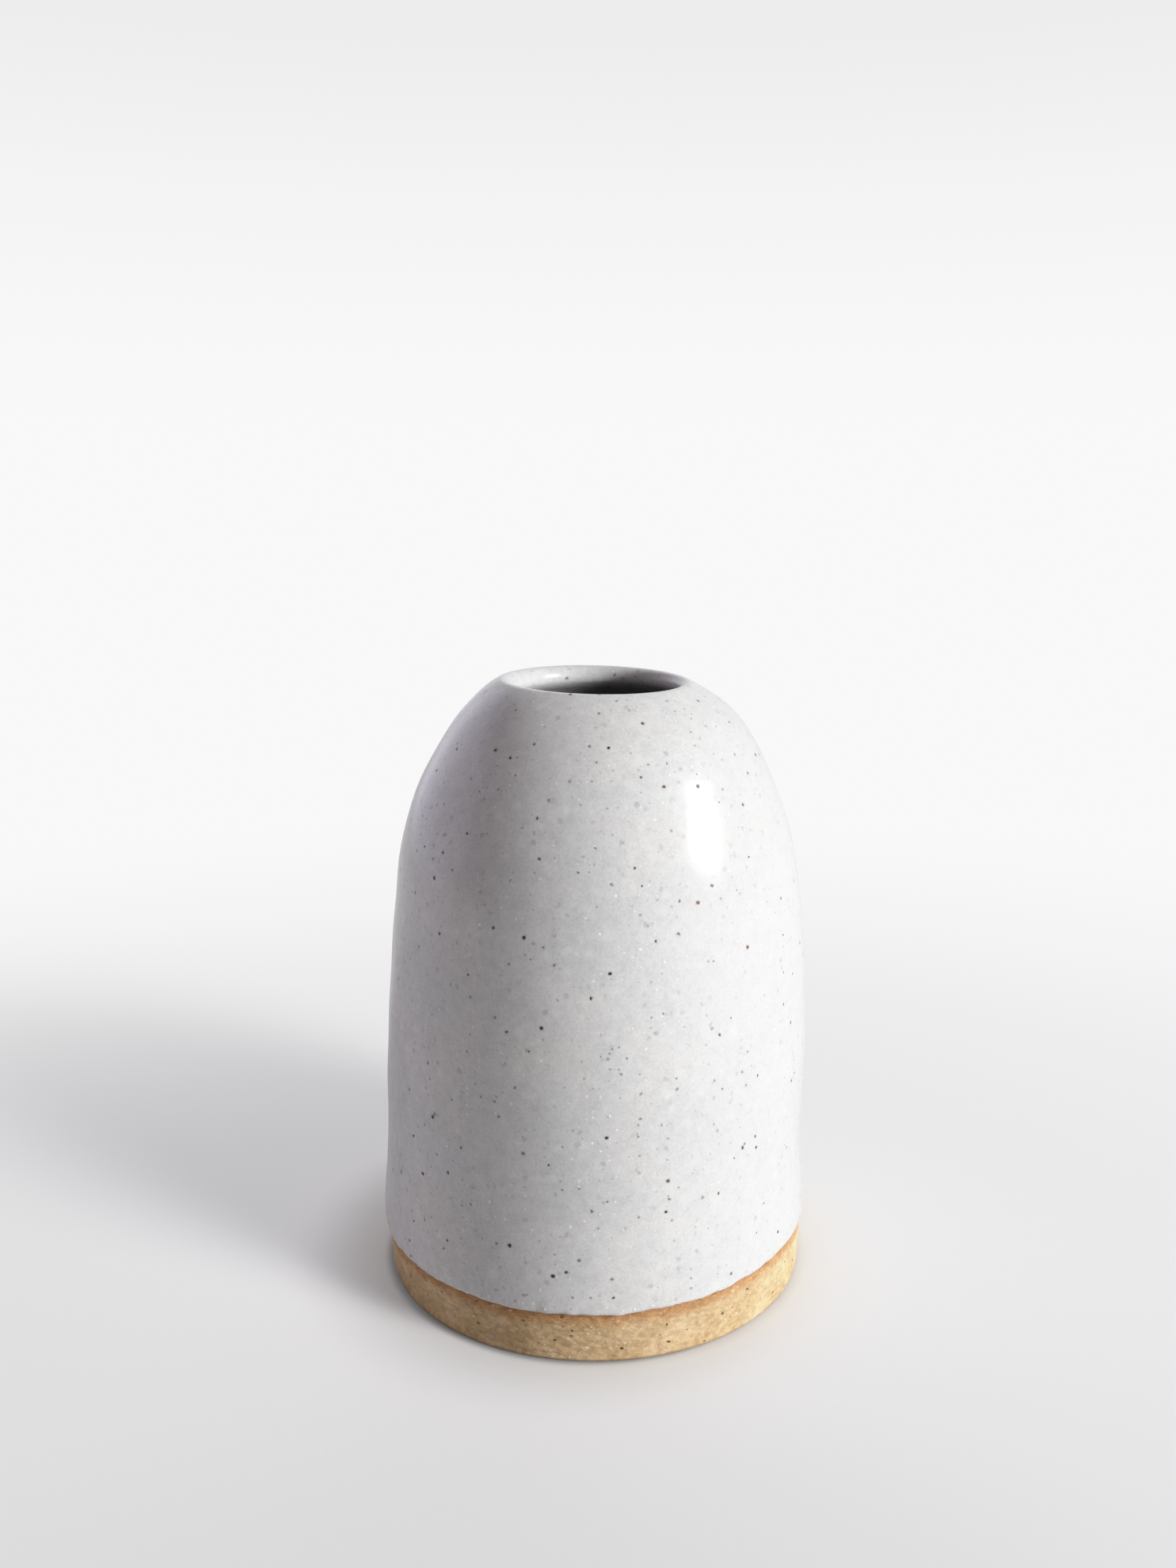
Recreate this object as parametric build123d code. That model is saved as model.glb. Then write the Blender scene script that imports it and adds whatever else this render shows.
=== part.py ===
"""Ceramic bud vase: a thrown stoneware body with a speckled glaze outside and a liner glaze inside.

Every piece is turned about +Z. The origin is the middle of the foot, on the surface that the vase stands on.
Outlines are drawn in a plane of (radius, height), in millimetres. An angle is that of the outward normal
above the horizontal, in degrees.
"""
from build123d import *
import os
from math import acos, atan2, cos, degrees, hypot, radians, sin

# Glazed outside, upwards from a plain barrel: tangent arcs that tighten towards the mouth.
barrel_radius = 31.53
barrel_top = 28.1
belly_arc = 254.5           # arc radii
shoulder_arc = 49.4
crown_arc = 20.3
belly_end = 7.5             # normal angles where each arc hands over to the next
shoulder_end = 33.1
crown_end = 62.7

# Glazed outside, downwards from the barrel: a flare, a low bulge, and a small bead at the glaze line.
barrel_bottom = 23.3
flare_arc = 90.0
bulge_arc = 45.0
bead_arc = 0.7
flare_end = 6.0
bulge_end = -1.0

# Lip, wall and floor.
lip_arc = 1.5
wall = 4.0                  # glazed face to glazed face
floor_height = 6.2          # top of the glazed floor
floor_corner_arc = 10.0
glaze = 0.35                # thickness of either glaze

# Bare clay foot, with a shallow turned recess underneath.
foot_radius = 31.45         # just above the rounded bottom edge
foot_edge_arc = 0.5
recess_radius = 23.5
recess_depth = 1.2
recess_slope = 1.5          # how far the recess's wall leans inwards


def polar(centre, radius, angle):
    """The point at radius and angle from centre."""
    return centre[0] + radius * cos(radians(angle)), centre[1] + radius * sin(radians(angle))


def next_centre(centre, radius, angle, next_radius):
    """Centre of an arc of next_radius that carries on smoothly from one of radius, at angle."""
    return polar(centre, radius - next_radius, angle)


def arc(centre, radius, start, end):
    return CenterArc(centre, radius, start, end - start)


def chain(*edges):
    """The edges, with a straight line put in wherever two neighbours don't already meet."""
    joined = [edges[0]]
    for edge in edges[1:]:
        if (joined[-1] @ 1 - edge @ 0).length > 1e-6:
            joined.append(Line(joined[-1] @ 1, edge @ 0))
        joined.append(edge)
    return joined


def turned(edges):
    """The solid that a closed outline sweeps about the axis."""
    return revolve(Plane.XZ * make_face(edges), Axis.Z, 360)


def coat(face, back):
    """A skin between two lines of edges that run side by side, closed across both ends."""
    ends = [(face[0] @ 0, back[0] @ 0), (face[-1] @ 1, back[-1] @ 1)]
    return turned(face + back + [Line(a, b) for a, b in ends if (a - b).length > 1e-6])


# Centres of the arcs. A surface at some depth under the glaze has the same centres.
belly_centre = (barrel_radius - belly_arc, barrel_top)
shoulder_centre = next_centre(belly_centre, belly_arc, belly_end, shoulder_arc)
crown_centre = next_centre(shoulder_centre, shoulder_arc, shoulder_end, crown_arc)
lip_centre = next_centre(crown_centre, crown_arc, crown_end, lip_arc)
flare_centre = (barrel_radius + flare_arc, barrel_bottom)
bulge_centre = next_centre(flare_centre, -flare_arc, flare_end, bulge_arc)
bead_centre = next_centre(bulge_centre, bulge_arc, bulge_end, bead_arc)
bare_wall_top = polar(bulge_centre, bulge_arc - glaze, bulge_end)
corner_centre = (barrel_radius - wall - floor_corner_arc, floor_height + floor_corner_arc)

# Inside, the throat is a cone that touches both the lip and the hollow side of the crown.
across, up = lip_centre[0] - crown_centre[0], lip_centre[1] - crown_centre[1]
crown_hollow = crown_arc - wall
throat = degrees(atan2(up, across)) - degrees(acos((crown_hollow + lip_arc) / hypot(across, up)))


def outside(depth):
    """The outside at a depth under the glazed surface, from the bulge above the foot to the lip."""
    return chain(
        arc(bulge_centre, bulge_arc - depth, bulge_end, flare_end),
        arc(flare_centre, flare_arc + depth, 180 + flare_end, 180),
        arc(belly_centre, belly_arc - depth, 0, belly_end),
        arc(shoulder_centre, shoulder_arc - depth, belly_end, shoulder_end),
        arc(crown_centre, crown_arc - depth, shoulder_end, crown_end),
        arc(lip_centre, lip_arc - depth, crown_end, 180 + throat),
    )


def inside(depth):
    """The hollow at a depth under its glazed surface, from the throat down to the middle of the floor."""
    sunk = depth - wall
    centre_of_floor = (0, floor_height - depth)
    return chain(
        arc(crown_centre, crown_arc + sunk, throat, shoulder_end),
        arc(shoulder_centre, shoulder_arc + sunk, shoulder_end, belly_end),
        arc(belly_centre, belly_arc + sunk, belly_end, 0),
        arc(corner_centre, floor_corner_arc + depth, 0, -90),
        Line(polar(corner_centre, floor_corner_arc + depth, -90), centre_of_floor),
    )


def bare_wall_end():
    """Where the bead comes down on the bare clay wall, and its angle from the bead's centre."""
    run, rise = foot_radius - bare_wall_top[0], foot_edge_arc - bare_wall_top[1]
    run, rise = run / hypot(run, rise), rise / hypot(run, rise)
    out, over = bead_centre[0] - bare_wall_top[0], bead_centre[1] - bare_wall_top[1]
    down_wall = out * run + over * rise
    clear_of_wall = out * rise - over * run
    along = down_wall + (bead_arc**2 - clear_of_wall**2) ** 0.5
    end = (bare_wall_top[0] + along * run, bare_wall_top[1] + along * rise)
    return end, degrees(atan2(end[1] - bead_centre[1], end[0] - bead_centre[0]))


def make_stoneware_body():
    """The thrown clay: wall, lip, floor and foot in one piece, bare only below the glaze."""
    foot = [
        Line((0, recess_depth), (recess_radius - recess_slope, recess_depth)),
        Line((recess_radius - recess_slope, recess_depth), (recess_radius, 0)),
        arc((foot_radius - foot_edge_arc, foot_edge_arc), foot_edge_arc, -90, 0),
    ]
    outline = chain(*foot, *outside(glaze), *inside(glaze))
    return turned(outline + [Line(outline[-1] @ 1, outline[0] @ 0)])


def make_outer_glaze():
    """The outer coat, from the bead at its lower edge, over the lip and down the throat."""
    bead_end, bead_end_angle = bare_wall_end()
    bead = arc(bead_centre, bead_arc, bead_end_angle, bulge_end)
    throat_face = Line(polar(lip_centre, lip_arc, 180 + throat), polar(crown_centre, crown_hollow, throat))
    throat_back = Line(polar(lip_centre, lip_arc - glaze, 180 + throat),
                       polar(crown_centre, crown_hollow + glaze, throat))
    clay_wall = Line(bead_end, bare_wall_top)
    return coat([bead, *outside(0), throat_face], [clay_wall, *outside(glaze), throat_back])


def make_liner_glaze():
    """The liner coat of the hollow, from where it meets the outer coat in the throat to the floor."""
    return coat(inside(0), inside(glaze))


pieces = {
    "stoneware_body": make_stoneware_body(),
    "outer_glaze": make_outer_glaze(),
    "liner_glaze": make_liner_glaze(),
}

os.makedirs("parts", exist_ok=True)
for name, piece in pieces.items():
    export_step(piece, f"parts/{name}.step")
    size = piece.bounding_box().size
    print(f"{name}: {size.X:.2f} x {size.Y:.2f} x {size.Z:.2f} mm, {piece.volume / 1000:.2f} cm3")
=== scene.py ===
"""Looks of the ceramic bud vase: wheel-thrown stoneware with a speckled satin glaze and a bare foot.

The three CAD nodes are replaced by denser meshes of the same outline, with the wobble, the wandering glaze
line and the grit that a hand-made pot has. Outlines and textures are worked out in millimetres, as in the
CAD model, and every mesh is scaled to metres when it is made.
"""
from itertools import product
from math import acos, atan2, cos, degrees, hypot, pi, radians, sin

import bpy
import numpy as np
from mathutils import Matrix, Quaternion, Vector


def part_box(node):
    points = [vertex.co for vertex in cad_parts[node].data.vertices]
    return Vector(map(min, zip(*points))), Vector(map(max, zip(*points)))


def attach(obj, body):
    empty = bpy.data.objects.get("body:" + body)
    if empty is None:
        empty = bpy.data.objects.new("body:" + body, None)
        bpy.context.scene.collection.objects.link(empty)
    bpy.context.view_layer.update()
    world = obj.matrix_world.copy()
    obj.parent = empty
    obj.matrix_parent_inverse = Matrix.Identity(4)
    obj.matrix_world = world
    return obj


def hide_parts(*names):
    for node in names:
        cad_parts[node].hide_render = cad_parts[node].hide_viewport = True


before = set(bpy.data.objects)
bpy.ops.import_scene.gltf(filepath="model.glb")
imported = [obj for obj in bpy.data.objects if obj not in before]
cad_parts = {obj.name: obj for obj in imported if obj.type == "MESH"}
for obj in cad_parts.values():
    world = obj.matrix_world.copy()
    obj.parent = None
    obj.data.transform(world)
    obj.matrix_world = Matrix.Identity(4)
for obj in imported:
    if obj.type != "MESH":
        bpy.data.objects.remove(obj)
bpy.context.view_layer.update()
MM = 0.001

# ---------------------------------------------------------------------------------------------------------
# Sizes in millimetres, and angles in degrees: the CAD model's own, or read from its nodes' boxes.

glaze_low, glaze_high = (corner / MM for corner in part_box("outer_glaze"))
clay_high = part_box("stoneware_body")[1] / MM
liner_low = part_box("liner_glaze")[0] / MM
height = glaze_high.z
glaze = glaze_high.x - clay_high.x
glaze_line = glaze_low.z

barrel_radius, barrel_top, barrel_bottom = 31.53, 28.1, 23.3
belly_arc, shoulder_arc, crown_arc, lip_arc = 254.5, 49.4, 20.3, 1.5
belly_end, shoulder_end, crown_end = 7.5, 33.1, 62.7
flare_arc, bulge_arc, bead_arc = 90.0, 45.0, 0.7
flare_end, bulge_end = 6.0, -1.0
wall, floor_height, corner_arc = 4.0, liner_low.z + glaze, 10.0
foot_radius, foot_edge_arc = 31.45, 0.5
recess_radius, recess_depth, recess_slope = 23.5, 1.2, 1.5

# Only for the meshes.
bead_end = -64.0            # just past the CAD model's angle, so that the bead's edge lies in the clay
SEGMENTS = 720              # round the vase
HIDDEN_STEP = 6.0           # between points where one piece lies behind another
HIDDEN_LIP_STEP = 0.8       # the same, round the lip
HIDDEN_GAP = 0.5            # from the liner's back to the clay's inside, so that the two never cross
PINHOLE = 0.02              # radius at which the liner's closed outline stops short of the axis
FAR_ABOVE = 40.0            # the liner's height above the glaze line, too high for the line's effects


# ---------------------------------------------------------------------------------------------------------
# Outlines: arrays of (radius, height) points.

def polar(centre, radius, angle):
    return centre[0] + radius * cos(radians(angle)), centre[1] + radius * sin(radians(angle))


def arc(centre, radius, start, end, step):
    """Points about step apart along an arc, from start to end in degrees."""
    count = max(2, int(abs(radians(end - start)) * radius / step) + 1)
    return [polar(centre, radius, angle) for angle in np.linspace(start, end, count)]


def line(start, end, step):
    count = max(2, int(hypot(end[0] - start[0], end[1] - start[1]) / step) + 1)
    return [tuple(point) for point in np.linspace(start, end, count)]


def outline(*runs):
    """The runs of points end to end, without the doubled point where two runs meet."""
    points = [runs[0][0]]
    for run in runs:
        points += [p for p in run if hypot(p[0] - points[-1][0], p[1] - points[-1][1]) > 1e-4]
    return np.array(points)


belly_centre = (barrel_radius - belly_arc, barrel_top)
shoulder_centre = polar(belly_centre, belly_arc - shoulder_arc, belly_end)
crown_centre = polar(shoulder_centre, shoulder_arc - crown_arc, shoulder_end)
lip_centre = polar(crown_centre, crown_arc - lip_arc, crown_end)
flare_centre = (barrel_radius + flare_arc, barrel_bottom)
bulge_centre = polar(flare_centre, -flare_arc - bulge_arc, flare_end)
bead_centre = polar(bulge_centre, bulge_arc - bead_arc, bulge_end)
corner_centre = (barrel_radius - wall - corner_arc, floor_height + corner_arc)
across, up = lip_centre[0] - crown_centre[0], lip_centre[1] - crown_centre[1]
throat = degrees(atan2(up, across)) - degrees(acos((crown_arc - wall + lip_arc) / hypot(across, up)))


def outside(depth, step, lip_step):
    """The outside at a depth under the glaze: from the bulge above the foot, over the lip, down the throat."""
    return outline(
        arc(bulge_centre, bulge_arc - depth, bulge_end, flare_end, step / 2),
        arc(flare_centre, flare_arc + depth, 180 + flare_end, 180, step),
        line((barrel_radius - depth, barrel_bottom), (barrel_radius - depth, barrel_top), step),
        arc(belly_centre, belly_arc - depth, 0, belly_end, step),
        arc(shoulder_centre, shoulder_arc - depth, belly_end, shoulder_end, step),
        arc(crown_centre, crown_arc - depth, shoulder_end, crown_end, step / 1.5),
        arc(lip_centre, lip_arc - depth, crown_end, 180 + throat, lip_step),
        line(polar(lip_centre, lip_arc - depth, 180 + throat),
             polar(crown_centre, crown_arc - wall + depth, throat), step / 1.5),
    )


def inside(depth, step):
    """The hollow at a depth under its glaze, from the throat down to the middle of the floor."""
    sunk = depth - wall
    return outline(
        arc(crown_centre, crown_arc + sunk, throat, shoulder_end, step),
        arc(shoulder_centre, shoulder_arc + sunk, shoulder_end, belly_end, step),
        arc(belly_centre, belly_arc + sunk, belly_end, 0, step),
        line((barrel_radius + sunk, barrel_top), (barrel_radius + sunk, corner_centre[1]), step),
        arc(corner_centre, corner_arc + depth, 0, -90, step),
        line((corner_centre[0], floor_height - depth), (0, floor_height - depth), step * 1.5),
    )


# ---------------------------------------------------------------------------------------------------------
# What the potter's hands did: the same small departures from a true round for every piece.

def noise(points, size, seed):
    """Smooth random values, from -1 to 1, that change over a distance of about size."""
    scaled = points / size
    cell = np.floor(scaled).astype(np.int64)
    part = scaled - cell
    part = part * part * part * (part * (part * 6 - 15) + 10)
    total = np.zeros(len(points))
    for corner in product((0, 1), repeat=3):
        at = cell + corner
        mixed = (at[:, 0] * 73856093) ^ (at[:, 1] * 19349663) ^ (at[:, 2] * 83492791) ^ (seed * 2654435761)
        mixed = (mixed ^ (mixed >> 13)) * 1274126177 & 0x7FFFFFFF
        mixed = (mixed ^ (mixed >> 16)) & 0xFFFFF
        weight = np.prod(np.where(corner, part, 1 - part), axis=1)
        total += weight * (mixed / 0xFFFFF * 2 - 1)
    return total


def smoothstep(low, high, value):
    t = np.clip((value - low) / (high - low), 0, 1)
    return t * t * (3 - 2 * t)


def around(points):
    return np.arctan2(points[:, 1], points[:, 0])


def hill(value, middle, width):
    return np.exp(-((value - middle) / width) ** 2)


def handmade(points):
    """The points, moved as the pot sways, tilts at the mouth and is out of round. The foot stands flat."""
    moved = points.copy()
    angle, level = around(points), points[:, 2]
    radius = np.hypot(points[:, 0], points[:, 1])
    risen = smoothstep(2, 35, level)

    # Round the pot: out of round, fuller low down at the front left, thrown in ridges, and softly uneven.
    oval = (0.003 * np.cos(2 * (angle - 0.6)) + 0.002 * np.cos(3 * angle + 1.1)) * risen
    low = 0.009 * hill(angle, -2.3, 0.6) * smoothstep(18, 4, level)
    ridges = 0.035 * np.sin(2 * pi * level / 11 + angle) * smoothstep(88, 72, level)
    soft = 0.10 * noise(points, 17, 3)
    grown = 1 + oval + low + (ridges + soft) * risen * np.minimum(radius, 10) / 10 / np.maximum(radius, 10)

    # Up the pot: its middle wanders to the left and right, and the mouth's plane tilts.
    sway = (
        -0.2 * smoothstep(2, 10, level)
        + 0.55 * smoothstep(15, 46, level)
        - 0.2 * smoothstep(56, 72, level)
        + 0.45 * smoothstep(73, 87, level)
        - 0.65 * smoothstep(85, 89, level)
    )
    tilt = -0.022 * points[:, 0] + 0.022 * points[:, 1] - 0.05

    moved[:, 0] = points[:, 0] * grown + sway
    moved[:, 1] = points[:, 1] * grown
    moved[:, 2] += smoothstep(78, 88, level) * tilt
    return moved


def line_shift(angle):
    """How far the glaze line wanders from its mean height, in millimetres, at an angle round the vase."""
    ring = np.stack([np.cos(angle), np.sin(angle), np.zeros_like(angle)], 1) * barrel_radius
    drips = (
        0.16 * noise(ring, 9, 11)
        + 0.11 * noise(ring, 3.4, 12)
        + 0.09 * noise(ring, 1.5, 13)
        + 0.05 * noise(ring, 0.8, 14)
    )
    return 0.55 * np.cos(angle) + 0.1 * np.cos(2 * angle + 0.8) - 0.3 * hill(angle, -1.3, 0.5) + drips


# ---------------------------------------------------------------------------------------------------------
# Meshes.

def lathe(points, closed):
    """Vertices and faces of an outline swept round the axis. An open one starts and ends on the axis."""
    turns = np.linspace(0, 2 * pi, SEGMENTS, endpoint=False)
    rows = points if closed else points[1:-1]
    vertices = np.stack([
        np.outer(rows[:, 0], np.cos(turns)),
        np.outer(rows[:, 0], np.sin(turns)),
        np.outer(rows[:, 1], np.ones(SEGMENTS)),
    ], -1).reshape(-1, 3)
    number = np.arange(len(rows) * SEGMENTS).reshape(len(rows), SEGMENTS)
    following = np.roll(number, -1, axis=1)
    if closed:
        upper, upper_following = np.roll(number, -1, axis=0), np.roll(following, -1, axis=0)
        quads = np.stack([number, following, upper_following, upper], -1).reshape(-1, 4)
        return vertices, quads.tolist()
    quads = np.stack([number[:-1], following[:-1], following[1:], number[1:]], -1).reshape(-1, 4)
    first, last = len(vertices), len(vertices) + 1
    vertices = np.vstack([vertices, [[0, 0, points[0, 1]], [0, 0, points[-1, 1]]]])
    fans = [[first, b, a] for a, b in zip(number[0], following[0])]
    fans += [[a, b, last] for a, b in zip(number[-1], following[-1])]
    return vertices, quads.tolist() + [[int(i) for i in fan] for fan in fans]


def make_piece(name, vertices, faces, values, material, node):
    """A smooth-shaded object in metres that rides on the vase's one body and stands for a CAD node."""
    mesh = bpy.data.meshes.new(name)
    mesh.from_pydata((vertices * MM).tolist(), [], faces)
    mesh.shade_smooth()
    for key, numbers in values.items():
        mesh.attributes.new(key, "FLOAT", "POINT").data.foreach_set("value", numbers.astype(np.float32))
    mesh.materials.append(material)
    mesh.validate()
    piece = bpy.data.objects.new(name, mesh)
    bpy.context.scene.collection.objects.link(piece)
    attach(piece, "root")
    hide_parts(node)
    return piece


def follow_line(vertices, reach):
    """Moves the lowest part of the outer glaze, up to reach above the glaze line, as the line wanders."""
    share = 1 - smoothstep(glaze_line + 2, glaze_line + reach, vertices[:, 2])
    vertices[:, 2] += share * line_shift(around(vertices))
    return vertices


def make_outer_glaze(material):
    """The outer coat, with an attribute that marks the throat, where the material paints shade into the glaze's
    colour.
    """
    edge = arc(bead_centre, bead_arc, bead_end, bulge_end, step=0.12)
    face = outline(edge, outside(0, step=1.6, lip_step=0.2))
    back = outside(glaze, HIDDEN_STEP, HIDDEN_LIP_STEP)[::-1]
    vertices, faces = lathe(np.vstack([face, back]), closed=True)
    above = vertices[:, 2] - glaze_line
    vertices = follow_line(vertices, 14)
    outer = np.tile(np.arange(len(face) + len(back)) < len(face), (SEGMENTS, 1)).T.reshape(-1)
    near_edge = smoothstep(2.6, 0.2, above) * outer
    swell = 0.05 * noise(vertices, 1.1, 21) * near_edge + 0.05 * noise(vertices, 2.7, 22) * near_edge
    radius = np.hypot(vertices[:, 0], vertices[:, 1])
    vertices[:, :2] *= (1 + swell / radius)[:, None]
    depth = height - vertices[:, 2]
    inner_cone = lip_centre[0] - 0.2 + 0.8 * depth
    throat_side = (depth < 9) & (np.hypot(vertices[:, 0], vertices[:, 1]) < inner_cone)
    # Painted shade: marks the throat under the lip, where the glaze colour is darkened to stand for the shadow
    # there.
    painted_throat_shade = smoothstep(2.0, 3.3, depth + 0.6 * np.cos(around(vertices))) * throat_side
    values = {"above_line": above, "painted_throat_shade": painted_throat_shade}
    return make_piece("outer_glaze_coat", handmade(vertices), faces, values, material,
                      "outer_glaze")


def make_liner(material):
    """The inner coat, with the potter's spiral, and an attribute that fades the throat's painted shade out
    lower down.
    """
    face, back = inside(0, step=1.1), inside(glaze, step=4.0)[::-1]
    middle = [[PINHOLE, face[-1, 1]], [PINHOLE, back[0, 1]]]
    vertices, faces = lathe(np.vstack([face[:-1], middle, back[1:]]), closed=True)
    depth = height - vertices[:, 2]
    turned = smoothstep(8, 20, depth) * smoothstep(2, 8, np.hypot(vertices[:, 0], vertices[:, 1]))
    spiral = 0.22 * np.sin(2 * pi * vertices[:, 2] / 6.5 + around(vertices)) * turned
    radius = np.maximum(np.hypot(vertices[:, 0], vertices[:, 1]), 1e-3)
    vertices[:, :2] *= (1 - spiral / np.maximum(radius, 5))[:, None]
    # The throat's painted shade runs on at the liner's top and fades out by 74 mm up.
    values = {"above_line": np.full(len(vertices), FAR_ABOVE), "painted_throat_shade": smoothstep(74, 82, vertices[:, 2])}
    return make_piece("liner_glaze_coat", handmade(vertices), faces, values, material,
                      "liner_glaze")


def make_clay(material):
    """The thrown body: gritty where it is bare at the foot, with turning rings in the recess underneath."""
    wall_top = polar(bulge_centre, bulge_arc - glaze, bulge_end)
    edge_centre = (foot_radius - foot_edge_arc, foot_edge_arc)
    foot = outline(
        line((0, recess_depth), (recess_radius - recess_slope, recess_depth), step=0.9),
        line((recess_radius - recess_slope, recess_depth), (recess_radius, 0), step=0.4),
        line((recess_radius, 0), (edge_centre[0], 0), step=0.8),
        arc(edge_centre, foot_edge_arc, -90, 0, step=0.16),
        line((foot_radius, foot_edge_arc), wall_top, step=0.17),
    )
    hidden = outline(outside(glaze, HIDDEN_STEP, HIDDEN_LIP_STEP), inside(glaze + HIDDEN_GAP, step=4.0))
    vertices, faces = lathe(outline(foot, hidden), closed=False)
    angle, radius = around(vertices), np.maximum(np.hypot(vertices[:, 0], vertices[:, 1]), 1e-3)
    below = glaze_line + line_shift(angle) - vertices[:, 2]
    band = smoothstep(0.0, 0.6, vertices[:, 2]) * smoothstep(-0.4, 0.4, below) * (radius > recess_radius)
    stretched = vertices * [1, 1, 2.4]
    grit = (
        0.05 * noise(stretched, 0.9, 31)
        + 0.035 * noise(stretched, 0.5, 32)
        + 0.06 * noise(vertices, 5, 33)
    )
    swell = grit * band + 0.10 * noise(vertices, 14, 34) * smoothstep(0, 0.6, vertices[:, 2]) * band
    vertices[:, :2] *= (1 + swell / radius)[:, None]
    under = (vertices[:, 2] < recess_depth + 0.01) & (radius < recess_radius)
    coil = 0.07 * np.sin(2 * pi * (radius / 1.9 + angle / (2 * pi))) + 0.05 * noise(vertices, 1.2, 35)
    vertices[:, 2] += np.where(under, coil * smoothstep(0.2, recess_depth, vertices[:, 2]), 0)
    values = {"below_line": below}
    return make_piece("stoneware_clay", handmade(vertices), faces, values, material,
                      "stoneware_body")


# ---------------------------------------------------------------------------------------------------------
# Materials.

class Nodes:
    """A node tree, with a short method for each kind of node in use. Lengths are in millimetres."""

    def __init__(self, tree):
        self.tree = tree
        self.tree.nodes.clear()
        self.coordinates = self.add("ShaderNodeTexCoord", {})
        self.place = self.vector("SCALE", self.coordinates.outputs["Object"], scale=1 / MM)

    def add(self, kind, inputs, **settings):
        node = self.tree.nodes.new(kind)
        for key, value in settings.items():
            setattr(node, key, value)
        for key, value in inputs.items():
            self.put(node.inputs[key], value)
        return node

    def put(self, socket, value):
        if isinstance(value, bpy.types.NodeSocket):
            self.tree.links.new(value, socket)
        else:
            socket.default_value = value

    def vector(self, operation, a, b=None, scale=None):
        inputs = {0: a}
        if b is not None:
            inputs[1] = b
        if scale is not None:
            inputs["Scale"] = scale
        return self.add("ShaderNodeVectorMath", inputs, operation=operation).outputs[0]

    def math(self, operation, a, b):
        return self.add("ShaderNodeMath", {0: a, 1: b}, operation=operation).outputs[0]

    def sum(self, *terms):
        total = terms[0]
        for term in terms[1:]:
            total = self.math("ADD", total, term)
        return total

    def times(self, *terms):
        total = terms[0]
        for term in terms[1:]:
            total = self.math("MULTIPLY", total, term)
        return total

    def span(self, value, low, high, to_low=0.0, to_high=1.0):
        """value, eased from to_low at low to to_high at high."""
        inputs = {"Value": value, "From Min": low, "From Max": high, "To Min": to_low, "To Max": to_high}
        return self.add("ShaderNodeMapRange", inputs, interpolation_type="SMOOTHSTEP").outputs["Result"]

    def length(self, vector):
        return self.add("ShaderNodeVectorMath", {0: vector}, operation="LENGTH").outputs["Value"]

    def level(self, vector):
        return self.add("ShaderNodeSeparateXYZ", {0: vector}).outputs["Z"]

    def away_from(self, x, y):
        """Distance from the point (x, y, 0)."""
        return self.length(self.vector("SUBTRACT", self.place, (x, y, 0.0)))

    def cloud(self, size, detail=2.0, rough=0.5, place=None):
        """Noise from about 0 to 1 whose blobs are about size across."""
        inputs = {"Vector": place or self.place, "Scale": 1 / size, "Detail": detail, "Roughness": rough}
        return self.add("ShaderNodeTexNoise", inputs).outputs["Fac"]

    def mix(self, share, a, b, blend="MIX"):
        node = self.add("ShaderNodeMix", {"Factor": share}, data_type="RGBA", blend_type=blend)
        self.put(node.inputs[6], a)
        self.put(node.inputs[7], b)
        return node.outputs[2]

    def shade(self, colour, factor):
        """The colour times a grey factor."""
        grey = self.add("ShaderNodeCombineColor", {0: factor, 1: factor, 2: factor}).outputs[0]
        return self.mix(1.0, colour, grey, "MULTIPLY")

    def attribute(self, name):
        return self.add("ShaderNodeAttribute", {}, attribute_name=name).outputs["Fac"]

    def ragged(self, amount, size, stretch=(1, 1, 1)):
        """Coordinates pushed about by up to amount, so that round spots come out irregular."""
        inputs = {"Vector": self.place, "Scale": 1 / size, "Detail": 2.0}
        push = self.add("ShaderNodeTexNoise", inputs).outputs["Color"]
        push = self.vector("SCALE", self.vector("SUBTRACT", push, (0.5, 0.5, 0.5)), scale=2 * amount)
        return self.vector("MULTIPLY", self.vector("ADD", self.place, push), stretch)

    def spots(self, place, spacing, share, smallest, largest, soft, seed):
        """Spots scattered in the solid. A cell, about spacing across, holds a spot with the chance share.

        Returns coverage from 0 to 1, a random tone for each cell, the distance past the spot's rim, and 1
        in the cells that hold a spot."""
        moved = self.vector("ADD", place, (seed * 17.3, seed * 5.1, seed * 11.9))
        cells = self.add("ShaderNodeTexVoronoi", {"Vector": moved, "Scale": 1 / spacing})
        parts = self.add("ShaderNodeSeparateColor", {0: cells.outputs["Color"]}).outputs
        there = self.math("LESS_THAN", parts[0], share)
        radius = self.sum(smallest, self.times(parts[1], parts[1], largest - smallest))
        past = self.math("SUBTRACT", self.math("MULTIPLY", cells.outputs["Distance"], spacing), radius)
        return self.times(self.span(past, soft, -soft), there), parts[2], past, there

    def bump(self, relief):
        """A normal from relief in millimetres."""
        inputs = {"Height": relief, "Strength": 1.0, "Distance": MM}
        return self.add("ShaderNodeBump", inputs).outputs["Normal"]


def rgb(red, green, blue):
    return red, green, blue, 1.0


def principled(name):
    """A new material, its node helper and its shader."""
    material = bpy.data.materials.new(name)
    material.use_nodes = True
    n = Nodes(material.node_tree)
    shader = n.add("ShaderNodeBsdfPrincipled", {})
    n.add("ShaderNodeOutputMaterial", {"Surface": shader.outputs[0]})
    return material, n, shader


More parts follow.
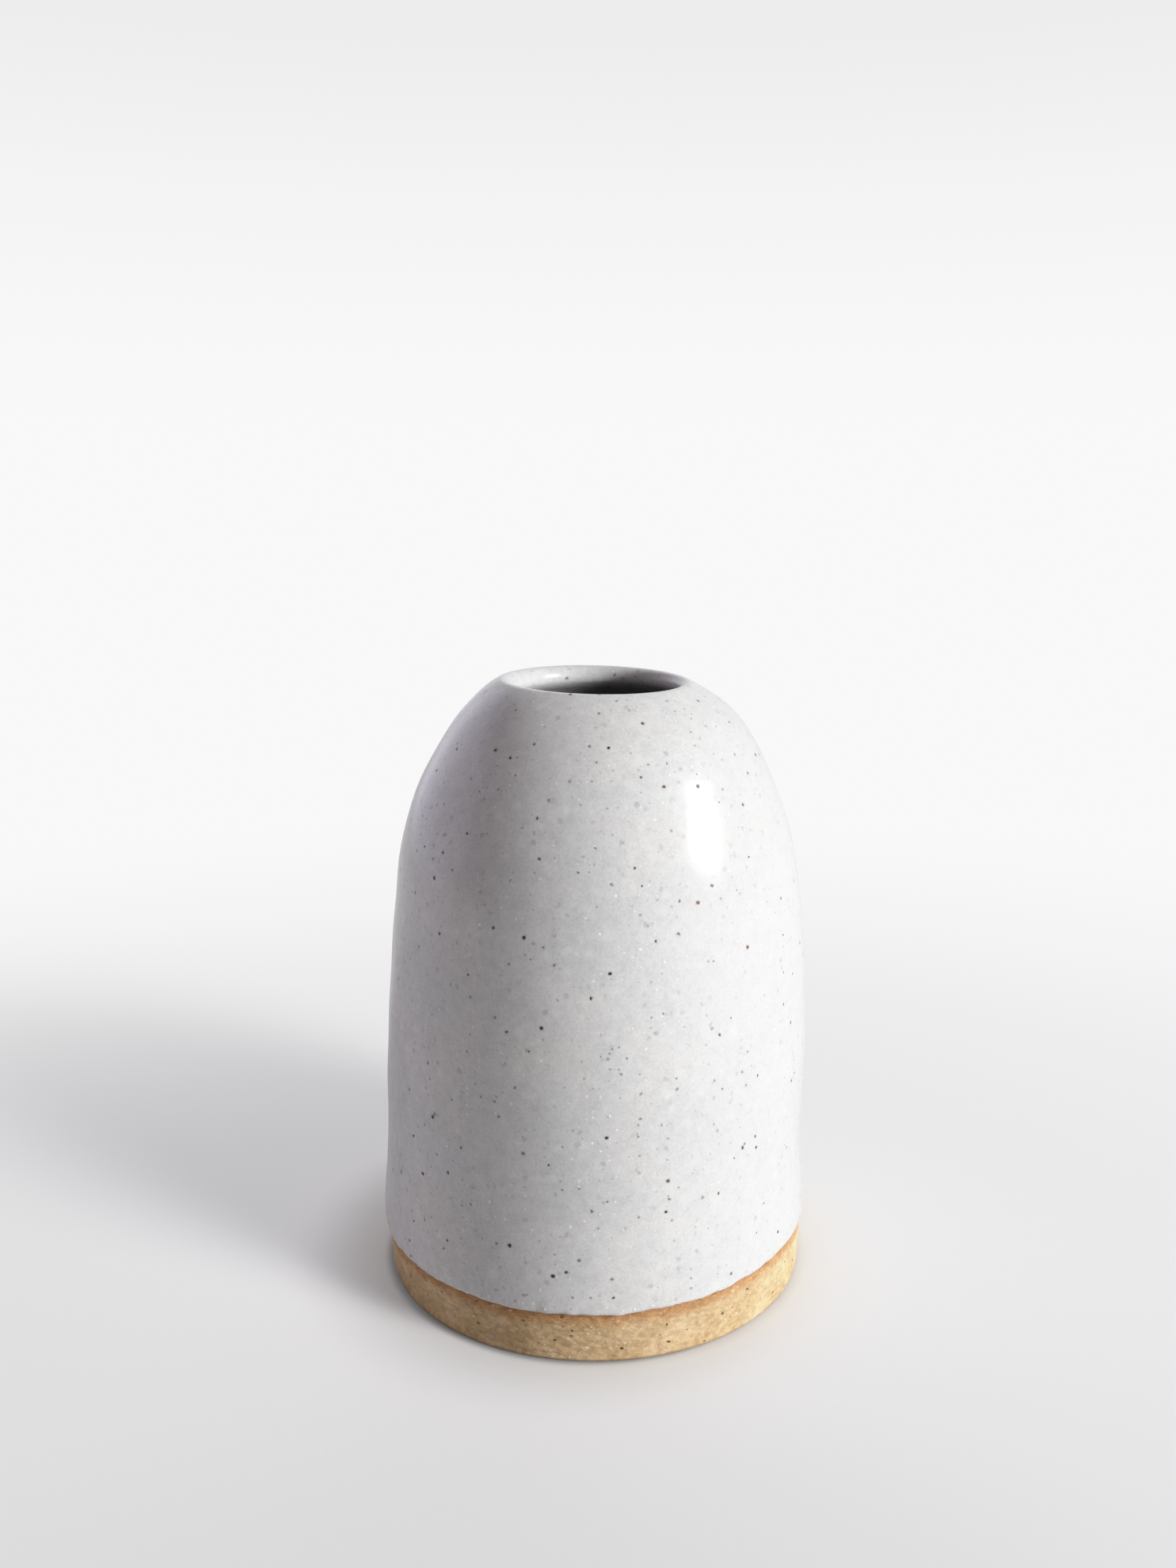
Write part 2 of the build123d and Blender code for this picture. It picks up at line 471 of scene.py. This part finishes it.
def make_glaze_material(name):
    """Off-white satin glaze over iron-bearing clay."""
    material, n, shader = principled(name)
    ragged = n.ragged(0.20, 0.35)

    colour = n.mix(n.span(n.cloud(11, 3), 0.3, 0.7), rgb(0.645, 0.655, 0.67), rgb(0.69, 0.69, 0.69))
    veil = n.cloud(1.7, 5, 0.65)
    grain = n.cloud(0.34, 3, 0.65)
    colour = n.shade(colour, n.sum(0.59, n.times(veil, 0.38), n.times(grain, 0.42)))

    blotchy = n.ragged(0.5, 1.2)
    milky, milky_tone, *_ = n.spots(blotchy, spacing=2.2, share=0.6, smallest=0.2, largest=0.8, soft=0.4,
                                    seed=1)
    colour = n.mix(n.times(milky, milky_tone, 0.45), colour, rgb(0.86, 0.86, 0.86))
    flecks, fleck_tone, *_ = n.spots(ragged, spacing=1.0, share=0.42, smallest=0.09, largest=0.20,
                                     soft=0.05, seed=2)
    colour = n.mix(n.times(flecks, n.sum(0.25, n.times(fleck_tone, 0.75))), colour, rgb(0.96, 0.96, 0.95))

    sunk, sunk_tone, *_ = n.spots(n.ragged(0.4, 0.6), spacing=1.45, share=0.55, smallest=0.12, largest=0.42,
                                  soft=0.18, seed=3)
    colour = n.mix(n.times(sunk, n.sum(0.08, n.times(sunk_tone, 0.34))), colour, rgb(0.27, 0.255, 0.25))
    middling, middling_tone, *_ = n.spots(ragged, spacing=1.25, share=0.60, smallest=0.09, largest=0.24,
                                          soft=0.09, seed=7)
    cover = n.times(middling, n.sum(0.25, n.times(middling_tone, 0.5)))
    colour = n.mix(cover, colour, rgb(0.13, 0.105, 0.10))

    crowding = n.span(n.cloud(9, 2), 0.35, 0.65, 0.36, 0.80)
    iron, tone, past, there = n.spots(ragged, spacing=1.85, share=crowding, smallest=0.11, largest=0.30,
                                      soft=0.08, seed=4)
    halo = n.times(n.span(past, 0.30, -0.05), there, n.span(tone, 0.3, 0.95, 0.15, 0.5))
    colour = n.mix(halo, colour, rgb(0.36, 0.27, 0.22))
    iron_colour = n.mix(n.span(tone, 0.72, 1.0), rgb(0.016, 0.012, 0.012), rgb(0.14, 0.05, 0.025))
    colour = n.mix(n.times(iron, n.span(tone, 0.0, 0.3, 0.6, 0.98)), colour, iron_colour)

    above = n.attribute("above_line")
    thin = n.times(n.span(above, 0.8, 0.0), n.span(n.cloud(1.1, 2), 0.3, 0.7, 0.2, 0.9))
    colour = n.mix(n.times(thin, 0.5), colour, rgb(0.50, 0.45, 0.41))
    pearls, *_ = n.spots(ragged, spacing=0.85, share=0.5, smallest=0.10, largest=0.30, soft=0.07, seed=6)
    pearls = n.times(pearls, n.span(above, 2.0, 0.2))
    colour = n.mix(n.times(pearls, 0.9), colour, rgb(0.97, 0.97, 0.96))

    # Painted shade: the throat's glaze darkened almost to black, for the shadow under the lip.
    colour = n.mix(n.times(n.attribute("painted_throat_shade"), 0.85), colour, rgb(0.13, 0.13, 0.14))

    roughness = n.sum(
        0.13,
        n.times(veil, 0.05),
        n.times(grain, 0.05),
        n.times(iron, 0.25),
        n.times(middling, 0.1),
    )
    relief = n.sum(
        n.times(n.cloud(8, 2), 0.10),
        n.times(n.cloud(1.6, 2), 0.014),
        n.times(grain, 0.006),
        n.times(iron, -0.02),
        n.times(flecks, 0.012),
        n.times(pearls, 0.07),
    )
    n.put(shader.inputs["Base Color"], colour)
    n.put(shader.inputs["Roughness"], roughness)
    n.put(shader.inputs["Normal"], n.bump(relief))
    return material


def make_clay_material():
    """Bare stoneware: sandy and gritty, toasted orange just under the glaze."""
    material, n, shader = principled("bare_stoneware")
    flat = n.ragged(0.22, 0.4, (1, 1, 1.4))
    grain = n.cloud(0.26, 3, 0.7)
    clumps = n.cloud(1.0, 3, 0.6, flat)
    patch = n.cloud(6, 3)

    colour = n.mix(n.span(patch, 0.3, 0.7), rgb(0.53, 0.365, 0.19), rgb(0.66, 0.485, 0.29))
    below = n.sum(n.attribute("below_line"), n.times(n.cloud(1.4, 4, 0.75), 2.8), n.times(grain, 0.6))
    colour = n.mix(n.span(below, 4.2, 2.3, 0.0, 0.85), colour, rgb(0.46, 0.23, 0.09))
    colour = n.mix(n.span(below, 2.3, 1.6, 0.0, 0.6), colour, rgb(0.33, 0.14, 0.055))
    mottle = n.times(n.span(grain, 0.25, 0.75, 0.90, 1.10), n.span(clumps, 0.3, 0.7, 0.83, 1.17))
    colour = n.shade(colour, mottle)

    sand, sand_tone, *_ = n.spots(flat, spacing=0.85, share=0.5, smallest=0.08, largest=0.34, soft=0.10,
                                  seed=11)
    colour = n.mix(n.times(sand, n.sum(0.15, n.times(sand_tone, 0.6))), colour, rgb(0.86, 0.70, 0.46))
    iron, tone, *_ = n.spots(flat, spacing=1.3, share=0.40, smallest=0.09, largest=0.32, soft=0.07, seed=12)
    iron_colour = n.mix(tone, rgb(0.07, 0.035, 0.012), rgb(0.24, 0.115, 0.035))
    colour = n.mix(n.times(iron, n.span(tone, 0.0, 1.0, 0.95, 0.5)), colour, iron_colour)

    # Painted shade: the clay darkened along its lowest 0.7 mm, where the foot meets the floor.
    painted_foot_shade = n.span(n.level(n.place), 0.7, 0.1, 0.0, 0.5)
    colour = n.mix(painted_foot_shade, colour, rgb(0.20, 0.13, 0.06))

    relief = n.sum(n.times(grain, 0.04), n.times(clumps, 0.08), n.times(sand, 0.03), n.times(iron, -0.05))
    n.put(shader.inputs["Base Color"], colour)
    n.put(shader.inputs["Roughness"], n.sum(0.66, n.times(grain, 0.28)))
    n.put(shader.inputs["Normal"], n.bump(relief))
    return material


# ---------------------------------------------------------------------------------------------------------
# Stage, light and camera, in metres, but for the floor's material, which is in millimetres like the others.

BACKDROP = 1.12             # linear brightness of the backdrop behind everything


def make_floor(radius):
    """A pale floor that fades into the backdrop all round, so that the camera sees no horizon.

    Some of its brightness is a glow of its own that dims close to the foot. Only the camera and reflections
    see that glow."""
    mesh = bpy.data.meshes.new("floor")
    turns = np.linspace(0, 2 * pi, 96, endpoint=False)
    rim = [(radius * cos(t), radius * sin(t), 0.0) for t in turns]
    mesh.from_pydata(rim, [], [list(range(len(rim)))])
    material, n, shader = principled("floor_paper")
    rays = n.add("ShaderNodeLightPath", {}).outputs
    camera_ray, glossy_ray = rays["Is Camera Ray"], rays["Is Glossy Ray"]
    distance = n.away_from(0.0, -150.0)
    # Painted shade: the paper and its glow darken towards the front.
    near = n.span(distance, 20, 170, 0.84, 1.0)
    # Painted shadow: the paper darkened just under the foot's edge.
    painted_foot_shadow = n.span(n.away_from(-1.2, -0.8), 30.3, 31.7, 0.35, 1.0)    # dark just under the foot's edge
    # The paper's fibre texture, times the painted shade above.
    paper_fibre_and_painted_shade = n.times(n.sum(0.985, n.times(n.cloud(1.2, 4, 0.7), 0.03)), near, painted_foot_shadow)
    seen = n.math("MAXIMUM", camera_ray, glossy_ray)
    paper = n.mix(seen, rgb(0.755, 0.76, 0.77), rgb(0.60, 0.60, 0.595))
    n.put(shader.inputs["Base Color"], n.shade(paper, paper_fibre_and_painted_shade))
    n.put(shader.inputs["Roughness"], 0.7)
    n.put(shader.inputs["Specular IOR Level"], 0.2)
    n.put(shader.inputs["Emission Color"], rgb(0.35, 0.35, 0.365))
    # Painted shadow: the glow dims near the foot, more to its left.
    painted_glow_shadow = n.times(
        n.span(n.away_from(0.0, 0.0), 30.5, 33.5, 0.4, 1.0),
        n.span(n.away_from(-5.0, 0.0), 27, 44, 0.45, 1.0),
    )
    glowing = n.sum(camera_ray, n.times(glossy_ray, 0.5))
    n.put(shader.inputs["Emission Strength"], n.times(glowing, near, painted_glow_shadow))
    glow = n.add("ShaderNodeEmission", {"Color": rgb(BACKDROP, BACKDROP, BACKDROP)}).outputs[0]
    fading = n.sum(camera_ray, n.times(glossy_ray, 0.3))
    fade = n.times(n.span(distance, 145, 440), fading)
    mixed = n.add("ShaderNodeMixShader", {0: fade, 1: shader.outputs[0], 2: glow}).outputs[0]
    n.put(n.tree.nodes["Material Output"].inputs["Surface"], mixed)
    mesh.materials.append(material)
    floor = bpy.data.objects.new("floor", mesh)
    bpy.context.scene.collection.objects.link(floor)
    return floor


def toward(azimuth, elevation):
    """A direction from the vase. Azimuth 0 is to the camera and 90 to the camera's right."""
    level = cos(radians(elevation))
    return sin(radians(azimuth)) * level, -cos(radians(azimuth)) * level, sin(radians(elevation))


def make_world():
    """To the camera, the backdrop. To the vase, a dim room with soft glows behind and to the left."""
    world = bpy.data.worlds.new("studio")
    bpy.context.scene.world = world
    world.use_nodes = True
    n = Nodes(world.node_tree)
    direction = n.coordinates.outputs["Generated"]
    room = rgb(0.03, 0.03, 0.03)
    tightness = 8.0
    for azimuth, elevation, colour in (
        (180, 15, rgb(0.80, 0.82, 0.80)),
        (225, 10, rgb(0.54, 0.51, 0.60)),
        (290, 25, rgb(0.20, 0.13, 0.12)),
    ):
        inputs = {0: direction, 1: toward(azimuth, elevation)}
        facing = n.add("ShaderNodeVectorMath", inputs, operation="DOT_PRODUCT").outputs["Value"]
        lobe = n.math("POWER", n.sum(0.5, n.times(facing, 0.5)), tightness)
        room = n.mix(1.0, room, n.shade(colour, lobe), "ADD")
    seen = n.add("ShaderNodeLightPath", {}).outputs["Is Camera Ray"]
    dimming = n.span(n.level(direction), 0.03, 0.36, 1.0, 0.78)
    dimmed = n.shade(rgb(BACKDROP, BACKDROP, BACKDROP), dimming)
    backdrop = n.mix(seen, room, dimmed)
    background = n.add("ShaderNodeBackground", {"Color": backdrop})
    n.add("ShaderNodeOutputWorld", {"Surface": background.outputs[0]})


def make_light(name, azimuth, elevation, roll, distance, width, tall, power, colour, lit):
    """An area light that faces the vase, turned by roll about the line to it. It lights only what is in lit."""
    target = Vector((0, 0, height * MM / 2))
    away = Vector(toward(azimuth, elevation))
    data = bpy.data.lights.new(name, "AREA")
    data.shape, data.size, data.size_y = "RECTANGLE", width, tall
    data.energy, data.color = power, colour
    light = bpy.data.objects.new(name, data)
    light.location = target + away * distance
    turn = Quaternion(away, radians(roll)) @ (-away).to_track_quat("-Z", "Y")
    light.rotation_euler = turn.to_euler()
    bpy.context.scene.collection.objects.link(light)
    light.light_linking.receiver_collection = bpy.data.collections.new(name + "_lights")
    for piece in lit:
        light.light_linking.receiver_collection.objects.link(piece)


def make_camera():
    """A phone-like camera, close in front of the vase and a little above it, tilted down."""
    focal_length = 30.9     # in millimetres
    down = 12.19            # in degrees below level
    data = bpy.data.cameras.new("camera")
    data.lens = focal_length
    data.clip_start, data.clip_end = 0.01, 20
    camera = bpy.data.objects.new("camera", data)
    camera.location = (-0.0011, -0.1931, 0.1151)
    camera.rotation_euler = (radians(90 - down), 0, 0)
    bpy.context.scene.collection.objects.link(camera)
    bpy.context.scene.camera = camera


def make_tones():
    """Plain display colours with a soft shoulder, so that brightly lit glaze and paper keep their shape."""
    view = bpy.context.scene.view_settings
    view.view_transform = "Standard"
    view.use_curve_mapping = True
    white = 1.4
    view.curve_mapping.white_level = (white, white, white)
    all_channels = view.curve_mapping.curves[3]
    for bright, shown in ((0.5, 0.5), (0.7, 0.69), (0.85, 0.815), (1.0, 0.90), (1.2, 0.962)):
        all_channels.points.new(bright / white, shown)
    view.curve_mapping.update()


glaze_material = make_glaze_material("speckled_glaze")
vase = [make_clay(make_clay_material()), make_outer_glaze(glaze_material), make_liner(glaze_material)]
floor = make_floor(radius=1.5)
make_world()
daylight = (1.0, 0.99, 0.975)
make_light("window", azimuth=68, elevation=20, roll=-33, distance=1.5, width=0.42, tall=0.58,
           power=33.8, colour=daylight, lit=vase)
make_light("window_on_floor", azimuth=56, elevation=20, roll=-31, distance=1.5, width=0.42, tall=0.58,
           power=33.0, colour=daylight, lit=[floor])
make_light("wall", azimuth=-118, elevation=15, roll=0, distance=0.7, width=0.94, tall=0.65,
           power=0.95, colour=(0.86, 0.84, 1.06), lit=vase)
make_camera()
make_tones()
